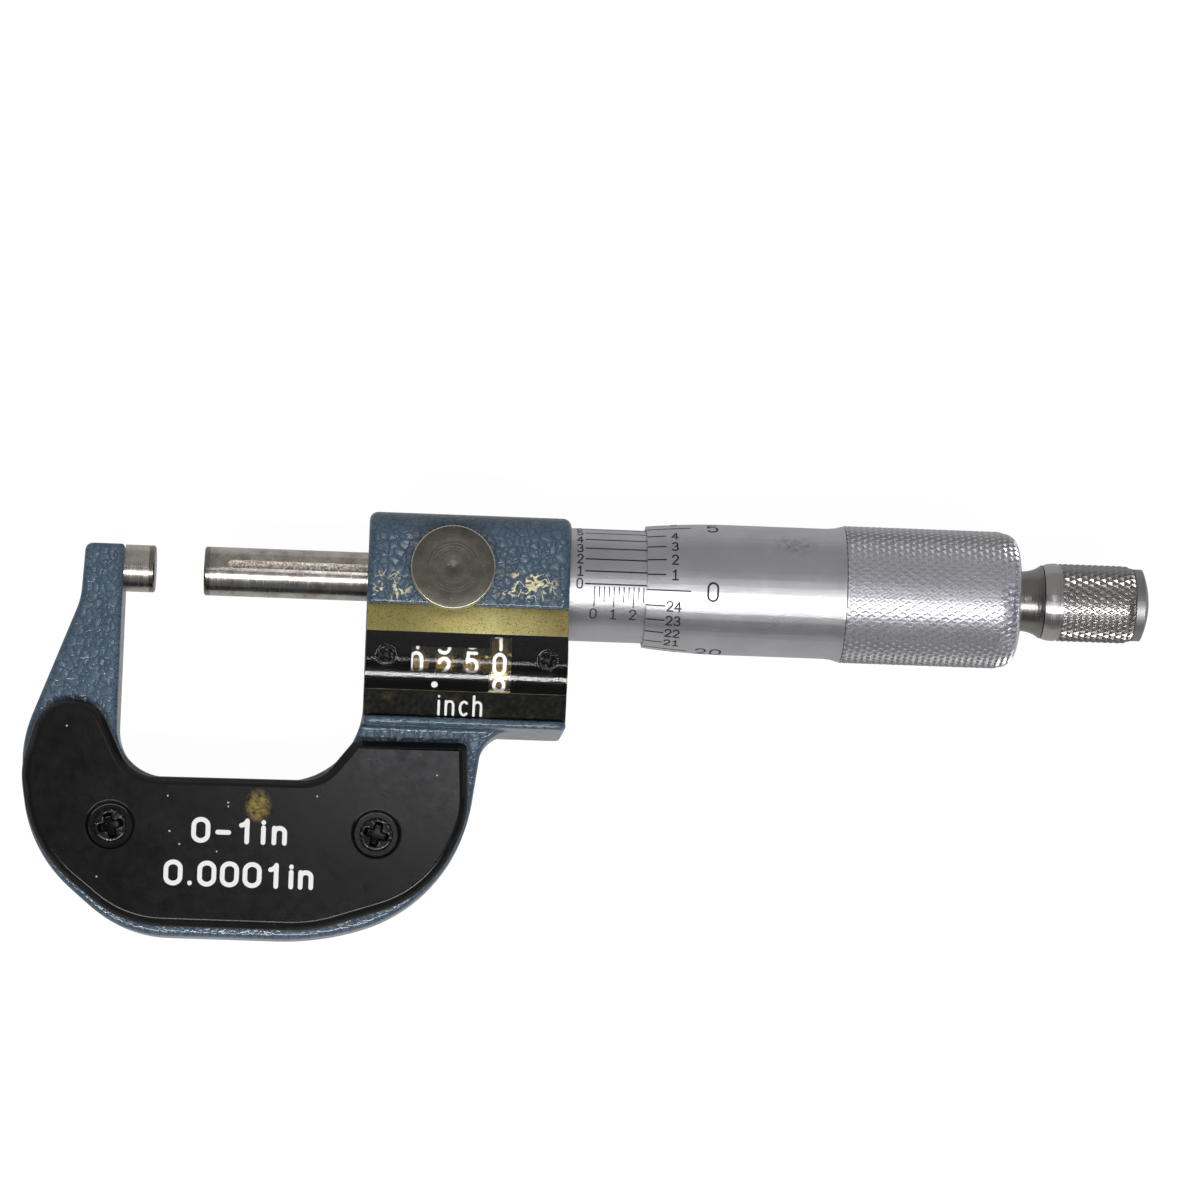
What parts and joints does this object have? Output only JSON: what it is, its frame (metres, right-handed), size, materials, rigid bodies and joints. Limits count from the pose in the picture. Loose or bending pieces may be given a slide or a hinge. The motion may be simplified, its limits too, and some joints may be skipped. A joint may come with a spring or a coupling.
{
  "type": "outside micrometer",
  "caption": "Outside micrometer with a C-shaped frame, measuring screw, ratchet knob, spindle clamp and a geared digit counter.",
  "frame": {"origin": "middle of the anvil's measuring face", "axes": "+X along the spindle away from the anvil, +Y up the frame's arms, +Z out of the front plate; the part lies on its back"},
  "size_m": [0.1454, 0.0564, 0.0216],
  "materials": {
    "hammertone_enamel": "hammertone enamel on cast iron",
    "ground_steel": "ground and lapped",
    "carbide": "lapped carbide",
    "black_plate": "semi-gloss moulded",
    "black_screw": "black oxide",
    "bright_steel": "turned",
    "satin_chrome": "satin chrome plate",
    "brass": "worn brass",
    "window": "moulded, printed black on the inside",
    "die_cast": "blackened die casting",
    "wheel_black": "black wheel, white numbers",
    "dull_steel": "faced, dull"
  },
  "bodies": {
    "frame": {"frame": "hammertone_enamel", "anvil": "ground_steel", "anvil_tip": "carbide", "front_plate": "black_plate", "back_plate": "black_plate", "front_plate_screws": "black_screw", "back_plate_screws": "black_screw", "inner_sleeve": "bright_steel", "adjusting_nut": "bright_steel", "outer_sleeve": "satin_chrome", "counter_cover": "brass", "counter_window": "window", "window_screws": "black_screw", "counter_end_left": "die_cast", "counter_end_right": "die_cast", "wheel_shaft": "bright_steel", "transfer_shaft": "bright_steel", "idler_shaft": "bright_steel", "clamp_shoe": "brass"},
    "drive_gear": {"drive_gear": "brass"},
    "spindle": {"spindle": "ground_steel", "spindle_tip": "carbide", "thimble": "satin_chrome", "ratchet_stem": "satin_chrome", "ratchet_end_screw": "satin_chrome"},
    "ratchet": {"ratchet_knob": "satin_chrome", "ratchet_clutch": "bright_steel", "ratchet_spring": "bright_steel"},
    "idler_gear": {"idler_gear": "brass"},
    "number_wheel_1": {"number_wheel_1": "wheel_black"},
    "number_wheel_2": {"number_wheel_2": "wheel_black"},
    "number_wheel_3": {"number_wheel_3": "wheel_black"},
    "number_wheel_4": {"number_wheel_4": "wheel_black"},
    "transfer_gear_1": {"transfer_gear_1": "brass"},
    "transfer_gear_2": {"transfer_gear_2": "brass"},
    "transfer_gear_3": {"transfer_gear_3": "brass"},
    "clamp": {"clamp_knob": "dull_steel"}
  },
  "joints": [
    {"name": "thimble_turn", "type": "hinge", "parent": "frame", "child": "drive_gear", "pos_m": [0.05, 0, 0], "axis": [1, 0, 0], "range_deg": [-3890.88, 11085.12]},
    {"name": "spindle_travel", "type": "slide", "parent": "drive_gear", "child": "spindle", "axis": [1, 0, 0], "range_m": [-0.00636, 0.01904]},
    {"name": "ratchet_turn", "type": "hinge", "parent": "spindle", "child": "ratchet", "pos_m": [0.12, 0, 0], "axis": [1, 0, 0], "continuous": true},
    {"name": "idler_turn", "type": "hinge", "parent": "frame", "child": "idler_gear", "pos_m": [0.0472, -0.00727, 0.00292], "axis": [1, 0, 0], "range_deg": [-20784.6, 7295.4]},
    {"name": "wheel_4_turn", "type": "hinge", "parent": "frame", "child": "number_wheel_4", "pos_m": [0.04472, -0.0117, 0.0047], "axis": [1, 0, 0], "range_deg": [-9727.2, 27712.8]},
    {"name": "transfer_3_turn", "type": "hinge", "parent": "frame", "child": "transfer_gear_3", "pos_m": [0.0429, -0.0117, -0.0013], "axis": [1, 0, 0], "range_deg": [-9237.6, 3242.4]},
    {"name": "wheel_3_turn", "type": "hinge", "parent": "frame", "child": "number_wheel_3", "pos_m": [0.04118, -0.0117, 0.0047], "axis": [1, 0, 0], "range_deg": [-972.72, 2771.28]},
    {"name": "transfer_2_turn", "type": "hinge", "parent": "frame", "child": "transfer_gear_2", "pos_m": [0.0394, -0.0117, -0.0013], "axis": [1, 0, 0], "range_deg": [-923.76, 324.24]},
    {"name": "wheel_2_turn", "type": "hinge", "parent": "frame", "child": "number_wheel_2", "pos_m": [0.03764, -0.0117, 0.0047], "axis": [1, 0, 0], "range_deg": [-97.27, 277.13]},
    {"name": "transfer_1_turn", "type": "hinge", "parent": "frame", "child": "transfer_gear_1", "pos_m": [0.0358, -0.0117, -0.0013], "axis": [1, 0, 0], "range_deg": [-92.38, 32.42]},
    {"name": "wheel_1_turn", "type": "hinge", "parent": "frame", "child": "number_wheel_1", "pos_m": [0.0341, -0.0117, 0.0047], "axis": [1, 0, 0], "range_deg": [-9.73, 27.71]},
    {"name": "clamp_turn", "type": "hinge", "parent": "frame", "child": "clamp", "pos_m": [0.03835, 0.0003, 0.0095], "axis": [0, 0, 1], "range_deg": [-75, 15]}
  ],
  "couplings": [
    {"joint": "thimble_turn", "follows": "spindle_travel", "rad_per_m": 9894.8},
    {"joint": "idler_turn", "follows": "spindle_travel", "rad_per_m": -18553},
    {"joint": "wheel_4_turn", "follows": "spindle_travel", "rad_per_m": 24737},
    {"joint": "transfer_3_turn", "follows": "spindle_travel", "rad_per_m": -8245.7},
    {"joint": "wheel_3_turn", "follows": "spindle_travel", "rad_per_m": 2473.7},
    {"joint": "transfer_2_turn", "follows": "spindle_travel", "rad_per_m": -824.57},
    {"joint": "wheel_2_turn", "follows": "spindle_travel", "rad_per_m": 247.37},
    {"joint": "transfer_1_turn", "follows": "spindle_travel", "rad_per_m": -82.457},
    {"joint": "wheel_1_turn", "follows": "spindle_travel", "rad_per_m": 24.737}
  ]
}
